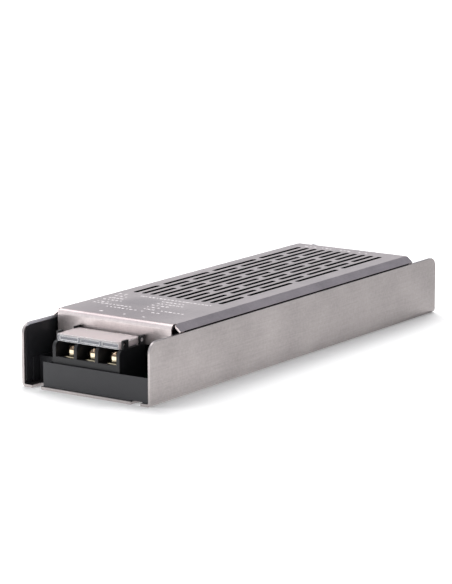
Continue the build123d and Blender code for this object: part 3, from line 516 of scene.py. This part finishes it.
# Nickel plate over rolled grooves: bright rims, painted nearly black between them as painted
# shade.
RIB_PITCH_MM = 1.2
ribbed_nickel = brushed_metal("ribbed_nickel_plate", "#D6CAAE", "X", grain_mm=0.6,
                              roughness=0.16, edge_mm=0.3)
tree = ribbed_nickel.node_tree
shader = shader_of(ribbed_nickel)
place = add(tree, "ShaderNodeTexCoord").outputs["Object"]
ribs = add(tree, "ShaderNodeTexWave", wave_type="BANDS", bands_direction="Z",
           values={"Scale": BAND_SCALE / RIB_PITCH_MM, "Phase Offset": math.pi},
           links={"Vector": place}).outputs["Fac"]
# Painted shade: the grooves between the ribs are painted nearly black.
painted_groove_shade = add(tree, "ShaderNodeMix", data_type="RGBA", values={6: linear("#3A342A")},
              links={0: ribs, 7: fed_by(shader, "Base Color")})
tree.links.new(painted_groove_shade.outputs[2], shader.inputs["Base Color"])
ridges = add(tree, "ShaderNodeBump", values={"Strength": 0.5, "Distance": 0.0003},
             links={"Height": ribs, "Normal": fed_by(shader, "Normal")})
tree.links.new(ridges.outputs[0], shader.inputs["Normal"])


# The terminal screws: nickel-plated steel pan heads with a cross recess, and rolled threads.
# Each one turns in its clamp washers and lifts them, so it is a piece of its own.

DOME_POWER = 2.6  # higher keeps the crown flatter in the middle
tree, size = tree_with(
    "terminal_screw",
    ("Head Radius", "Head Height", "Crown", "Shank Radius", "Shank Length", "Thread Pitch",
     "Thread Depth", "Recess Length", "Recess Width", "Recess Depth", "Recess Turn"),
    ("Place",))
where = add(tree, "GeometryNodeInputPosition")
axes = add(tree, "ShaderNodeSeparateXYZ", links={"Vector": where}).outputs
flat = add(tree, "ShaderNodeCombineXYZ", links={"X": axes["X"], "Y": axes["Y"]})

# The head: a disc whose upper half falls away towards its rim.
blank = add(tree, "GeometryNodeMeshCylinder",
            values={"Vertices": 48, "Side Segments": 6, "Fill Segments": 8},
            links={"Radius": size["Head Radius"], "Depth": size["Head Height"]})
reach = add(tree, "ShaderNodeVectorMath", operation="LENGTH", links={0: flat})
ratio = add(tree, "ShaderNodeMath", operation="DIVIDE",
            links={0: reach.outputs["Value"], 1: size["Head Radius"]})
curve = add(tree, "ShaderNodeMath", operation="POWER", values={1: DOME_POWER}, links={0: ratio})
height = add(tree, "ShaderNodeMath", operation="DIVIDE",
             links={0: axes["Z"], 1: size["Head Height"]})
above = add(tree, "ShaderNodeMath", operation="MAXIMUM", values={1: 0.0}, links={0: height})
fall = add(tree, "ShaderNodeMath", operation="MULTIPLY", links={0: curve, 1: above})
drop = add(tree, "ShaderNodeMath", operation="MULTIPLY", links={0: fall, 1: size["Crown"]})
down = add(tree, "ShaderNodeMath", operation="MULTIPLY", values={1: -2.0}, links={0: drop})
domed = add(tree, "ShaderNodeCombineXYZ", links={"Z": down})
head = add(tree, "GeometryNodeSetPosition", links={"Geometry": blank, "Offset": domed})

# The cross recess: two crossed bars cut into the head's top.
half = add(tree, "ShaderNodeMath", operation="MULTIPLY", values={1: 0.5},
           links={0: size["Head Height"]})
lift = add(tree, "ShaderNodeCombineXYZ", links={"Z": half})
bar_size = add(tree, "ShaderNodeCombineXYZ", links={
    "X": size["Recess Length"], "Y": size["Recess Width"], "Z": size["Recess Depth"]})
crossed = add(tree, "GeometryNodeMeshBoolean", operation="DIFFERENCE", solver="EXACT",
              links={0: head})
for quarter in (0.0, math.pi / 2):
    turn = add(tree, "ShaderNodeMath", operation="ADD", values={1: quarter},
               links={0: size["Recess Turn"]})
    turned = add(tree, "ShaderNodeCombineXYZ", links={"Z": turn})
    bar = add(tree, "GeometryNodeMeshCube", links={"Size": bar_size})
    cutter = add(tree, "GeometryNodeTransform",
                 links={"Geometry": bar, "Translation": lift, "Rotation": turned})
    tree.links.new(cutter.outputs[0], crossed.inputs[1])
raised = add(tree, "GeometryNodeTransform", links={"Geometry": crossed, "Translation": lift})

# The shank: a rod pushed in along a helix, which gives its thread.
rod = add(tree, "GeometryNodeMeshCylinder",
          values={"Vertices": 24, "Side Segments": 72, "Fill Segments": 1},
          links={"Radius": size["Shank Radius"], "Depth": size["Shank Length"]})
bearing = add(tree, "ShaderNodeMath", operation="ARCTAN2", links={0: axes["Y"], 1: axes["X"]})
lag = add(tree, "ShaderNodeMath", operation="DIVIDE", values={1: math.tau}, links={0: bearing})
rise = add(tree, "ShaderNodeMath", operation="DIVIDE",
           links={0: axes["Z"], 1: size["Thread Pitch"]})
phase = add(tree, "ShaderNodeMath", operation="SUBTRACT", links={0: rise, 1: lag})
flank = add(tree, "ShaderNodeMath", operation="PINGPONG", values={1: 0.5}, links={0: phase})
depth = add(tree, "ShaderNodeMath", operation="DIVIDE",
            links={0: size["Thread Depth"], 1: size["Shank Radius"]})
groove = add(tree, "ShaderNodeMath", operation="MULTIPLY", links={0: flank, 1: depth})
inward = add(tree, "ShaderNodeMath", operation="MULTIPLY", values={1: -2.0}, links={0: groove})
cut = add(tree, "ShaderNodeVectorMath", operation="SCALE", links={0: flat, "Scale": inward})
thread = add(tree, "GeometryNodeSetPosition", links={"Geometry": rod, "Offset": cut})
sunk = add(tree, "ShaderNodeMath", operation="MULTIPLY", values={1: -0.5},
           links={0: size["Shank Length"]})
below = add(tree, "ShaderNodeCombineXYZ", links={"Z": sunk})
shank = add(tree, "GeometryNodeTransform", links={"Geometry": thread, "Translation": below})
whole = add(tree, "GeometryNodeJoinGeometry", links={"Geometry": shank})
tree.links.new(raised.outputs[0], whole.inputs["Geometry"])
placed = add(tree, "GeometryNodeTransform",
             links={"Geometry": whole, "Translation": size["Place"]})
# Bright nickel: a warm white metal, smooth enough to mirror the lamp as a glint.
bright_nickel = brushed_metal("bright_nickel_plate", "#CDBFA4", "X", grain_mm=1.3,
                              roughness=0.12, stain=0.3)
finish_tree(tree, placed, bright_nickel)

HEAD_HEIGHT = 0.0025
for prefix, poles, recess_turn in (("input", 3, 30.0), ("output", 4, 210.0)):
    for number in range(1, poles + 1):
        body = f"{prefix}_screw_{number}"
        low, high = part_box(body)
        screw = grown(f"{prefix}_terminal_screw_{number}", tree, {
            "Head Radius": 0.003, "Head Height": HEAD_HEIGHT, "Crown": 0.0011,
            "Shank Radius": 0.0017, "Shank Length": high[2] - low[2] - HEAD_HEIGHT,
            "Thread Pitch": 0.0006, "Thread Depth": 0.0003,
            "Recess Length": 0.0042, "Recess Width": 0.0009, "Recess Depth": 0.0022,
            "Recess Turn": math.radians(recess_turn),
            "Place": ((low[0] + high[0]) / 2, (low[1] + high[1]) / 2, high[2] - HEAD_HEIGHT),
        })
        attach(screw, body)
        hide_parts(body)
        dress(f"{prefix}_clamp_{number}", ribbed_nickel)


# The lids: clear polycarbonate trays, moulded thin, with three or four panes sunk in the front.
# They snap on pins into the block's back posts.

SQUARE_ON = {"From Min": 0.6, "From Max": 0.9}  # how far a face points along an axis
# Polycarbonate: a little milky. Its top and end walls are painted pale pink and its thin front
# panes a darker grey, as painted reflection and shade. Its end walls are fuller, and its edges
# are painted white, as a painted highlight.
clear_lid = new_material("clear_polycarbonate")
tree = clear_lid.node_tree
place = add(tree, "ShaderNodeTexCoord").outputs["Object"]
haze = add(tree, "ShaderNodeTexNoise", values={"Scale": 1000 / 6, "Detail": 2.0},
           links={"Vector": place})
rough = add(tree, "ShaderNodeMapRange", values={"To Min": 0.05, "To Max": 0.15},
            links={"Value": haze})
faces = add(tree, "ShaderNodeNewGeometry").outputs["True Normal"]
rounded = add(tree, "ShaderNodeBevel", values={"Radius": 0.0004}, samples=8)
bend = add(tree, "ShaderNodeVectorMath", operation="DOT_PRODUCT", links={0: rounded, 1: faces})
edge = add(tree, "ShaderNodeMapRange", values={"From Min": 0.998, "From Max": 0.90},
           links={"Value": bend.outputs["Value"]})
normal = add(tree, "ShaderNodeSeparateXYZ", links={"Vector": faces}).outputs
front = add(tree, "ShaderNodeMath", operation="ABSOLUTE", links={0: normal["X"]})
pane = add(tree, "ShaderNodeMapRange", values=SQUARE_ON, links={"Value": front})
# Painted reflection and shade: faces that look along the case get the darker grey, the rest the
# pale pink.
body = add(tree, "ShaderNodeMix", data_type="RGBA", links={0: pane},
           values={6: linear("#E4D7D7"), 7: linear("#8C8F98")})
# Painted highlight: the edges are painted white.
lid_tint_and_painted_light = add(tree, "ShaderNodeMix", data_type="RGBA", values={7: WHITE},
           links={0: edge, 6: body.outputs[2]})
# How much light each face lets through.
TOP_CLEAR, PANE_CLEAR, WALL_CLEAR, EDGE_CLEAR = 0.46, 0.36, 0.05, 0.03
thin = add(tree, "ShaderNodeMapRange", values={"To Min": TOP_CLEAR, "To Max": PANE_CLEAR},
           links={"Value": pane})
sideways = add(tree, "ShaderNodeMath", operation="ABSOLUTE", links={0: normal["Y"]})
wall = add(tree, "ShaderNodeMapRange", values={**SQUARE_ON, "To Max": WALL_CLEAR},
           links={"Value": sideways, "To Min": thin})
clear = add(tree, "ShaderNodeMapRange", values={"To Max": EDGE_CLEAR},
            links={"Value": edge, "To Min": wall})
eased = add(tree, "ShaderNodeBevel", values={"Radius": 0.0002}, samples=8)
shader = add(tree, "ShaderNodeBsdfPrincipled",
             values={"IOR": 1.58, "Subsurface Weight": 0.2, "Subsurface Scale": 0.003,
                     "Subsurface Radius": (1.0, 0.95, 0.95)},
             links={"Base Color": lid_tint_and_painted_light.outputs[2], "Transmission Weight": clear,
                    "Roughness": rough, "Normal": eased})
add(tree, "ShaderNodeOutputMaterial", links={"Surface": shader})
dress("input_lid", clear_lid)
dress("output_lid", clear_lid)


# The cover: one coated steel sheet with punched vent slots, sloped along both long edges and
# bent down at both ends. It is held by the brackets and screws in the hidden wall.

# The same coated sheet, paler. It is painted darker in two soft fields near the input end, as
# painted shade, and its end flaps are painted brighter, as painted light. Faces that don't look
# up, within the slotted length, mostly the slots' sheared walls, are painted nearly black as
# painted shade.
cover_sheet = brushed_metal("aluminium_zinc_cover_sheet", "#BBB0AF", "X", grain_mm=0.4,
                            roughness=0.36, stain=0.24)
# Each field of painted shade: its start and end along and across the case, the reach of its soft
# edge, all in metres, and its shade.
PAINTED_SHADE_FIELDS = [
    ((-0.0610, -0.0490), (0.0010, 0.0140), 0.003, linear("#E6E5E7")),
    ((-0.1000, -0.0610), (-0.0160, 0.0180), 0.010, linear("#E2DFE1")),
]
SLOTS_REACH = 0.078  # from the middle to the last slot's end
# How much brighter the end flaps are painted, as painted light.
FLAP_PAINTED_LIGHT = (1.20, 1.23, 1.23, 1.0)
tree = cover_sheet.node_tree
shader = shader_of(cover_sheet)
sheet_colour = fed_by(shader, "Base Color")
place = add(tree, "ShaderNodeTexCoord").outputs["Object"]
axes = add(tree, "ShaderNodeSeparateXYZ", links={"Vector": place}).outputs
faces = add(tree, "ShaderNodeNewGeometry").outputs["True Normal"]
normal = add(tree, "ShaderNodeSeparateXYZ", links={"Vector": faces}).outputs
top = add(tree, "ShaderNodeMapRange", values={"From Min": 0.3, "From Max": 0.9},
          links={"Value": normal["Z"]})
# Painted shade: on faces that look up, the sheet's colour is darkened inside each field.
for *spans, blur, shade in PAINTED_SHADE_FIELDS:
    inside = top
    for axis, (start, end) in zip("XY", spans):
        rising = add(tree, "ShaderNodeMapRange", interpolation_type="SMOOTHSTEP",
                     values={"From Min": start - blur, "From Max": start + blur},
                     links={"Value": axes[axis]})
        falling = add(tree, "ShaderNodeMapRange", interpolation_type="SMOOTHSTEP",
                      values={"From Min": end - blur, "From Max": end + blur,
                              "To Min": 1.0, "To Max": 0.0},
                      links={"Value": axes[axis]})
        band = add(tree, "ShaderNodeMath", operation="MULTIPLY", links={0: rising, 1: falling})
        inside = add(tree, "ShaderNodeMath", operation="MULTIPLY", links={0: inside, 1: band})
    matt_or_painted_shade = add(tree, "ShaderNodeMix", data_type="RGBA", blend_type="MULTIPLY",
                 values={7: shade}, links={0: inside, 6: sheet_colour})
    sheet_colour = matt_or_painted_shade.outputs[2]

# Painted shade: faces that don't look up, within the slotted length, are painted nearly black.
upright = add(tree, "ShaderNodeMath", operation="LESS_THAN", values={1: 0.3},
              links={0: normal["Z"]})
way = add(tree, "ShaderNodeMath", operation="ABSOLUTE", links={0: axes["X"]})
between = add(tree, "ShaderNodeMath", operation="LESS_THAN", values={1: SLOTS_REACH},
              links={0: way})
slot_shade_mask = add(tree, "ShaderNodeMath", operation="MULTIPLY", links={0: upright, 1: between})
painted_slot_shade = add(tree, "ShaderNodeMix", data_type="RGBA", values={7: linear("#1E1C1C")},
              links={0: slot_shade_mask, 6: sheet_colour})

# Painted light: faces that look along the case, the end flaps, are painted brighter.
end_on = add(tree, "ShaderNodeMath", operation="ABSOLUTE", links={0: normal["X"]})
flap = add(tree, "ShaderNodeMapRange", values=SQUARE_ON, links={"Value": end_on})
painted_flap_light = add(tree, "ShaderNodeMix", data_type="RGBA", blend_type="MULTIPLY",
                values={7: FLAP_PAINTED_LIGHT}, links={0: flap, 6: painted_slot_shade.outputs[2]})
tree.links.new(painted_flap_light.outputs[2], shader.inputs["Base Color"])
dress("cover", cover_sheet)


# The print on the cover: pale screen-printed marks by the terminals and between them and the
# slots. They are rows of plain dashes in one thin layer of ink.

# Rows of dashes: place along the case, and where the row starts and ends across it, in mm.
PRINT_ROWS = [
    (-47.0, 23.2, 20.2), (-48.4, 23.0, 20.0), (-46.4, 13.2, -17.6), (-51.1, 22.0, 17.4),
    (-54.9, 22.0, 16.6), (-58.3, 22.0, 14.4), (-62.4, 21.8, 17.4), (-64.8, 21.6, 5.4),
    (-50.5, 0.8, -8.4), (-54.0, 0.4, -10.2), (-57.4, 0.4, -6.0), (-60.8, 0.2, -4.6),
    (-64.3, -0.8, -4.8), (-64.5, -8.8, -18.0), (-68.3, 13.2, 2.4), (-68.2, 0.4, -2.6),
    (-68.3, -7.6, -9.8), (-76.2, 9.9, 9.1), (-76.0, -0.4, -1.2), (-76.2, -9.2, -10.0),
    (75.6, 19.2, 15.0), (75.6, 11.2, 7.4), (75.6, 2.4, -1.2), (75.6, -6.4, -9.6),
]
sheet_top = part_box("cover")[1][2]
points = [(x / 1000, y / 1000, sheet_top) for x, *ends in PRINT_ROWS for y in ends]
row_mesh = bpy.data.meshes.new("print_rows")
row_mesh.from_pydata(points, [(2 * i, 2 * i + 1) for i in range(len(PRINT_ROWS))], [])

tree, size = tree_with("print_dashes",
                       ("Dash Pitch", "Shortest", "Longest", "Dash Width", "Thickness"),
                       wholes=("Seed",))
rows = add(tree, "GeometryNodeMeshToCurve", links={"Mesh": size["Geometry"]})
spots = add(tree, "GeometryNodeCurveToPoints", mode="LENGTH",
            links={"Curve": rows, "Length": size["Dash Pitch"]})
dash = add(tree, "GeometryNodeMeshCube", values={"Size": (1, 1, 1)})
length = add(tree, "FunctionNodeRandomValue", data_type="FLOAT",
             links={2: size["Shortest"], 3: size["Longest"], "Seed": size["Seed"]})
scale = add(tree, "ShaderNodeCombineXYZ",
            links={"X": size["Dash Width"], "Y": length.outputs[1], "Z": size["Thickness"]})
marks = add(tree, "GeometryNodeInstanceOnPoints",
            links={"Points": spots, "Instance": dash, "Scale": scale})
# Screen-printing ink: matt, warm white, slightly uneven.
pale_ink = moulded("pale_screen_ink", "#E6E0E1", 0.6, peel_mm=0.8, peel=0.1, edge_mm=0.01)
finish_tree(tree, marks, pale_ink)
print_marks = grown("cover_print", tree, {
    "Dash Pitch": 0.0017, "Shortest": 0.0005, "Longest": 0.0016, "Dash Width": 0.0008,
    "Thickness": 0.00002, "Seed": 7,
}, row_mesh)
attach(print_marks, "root")
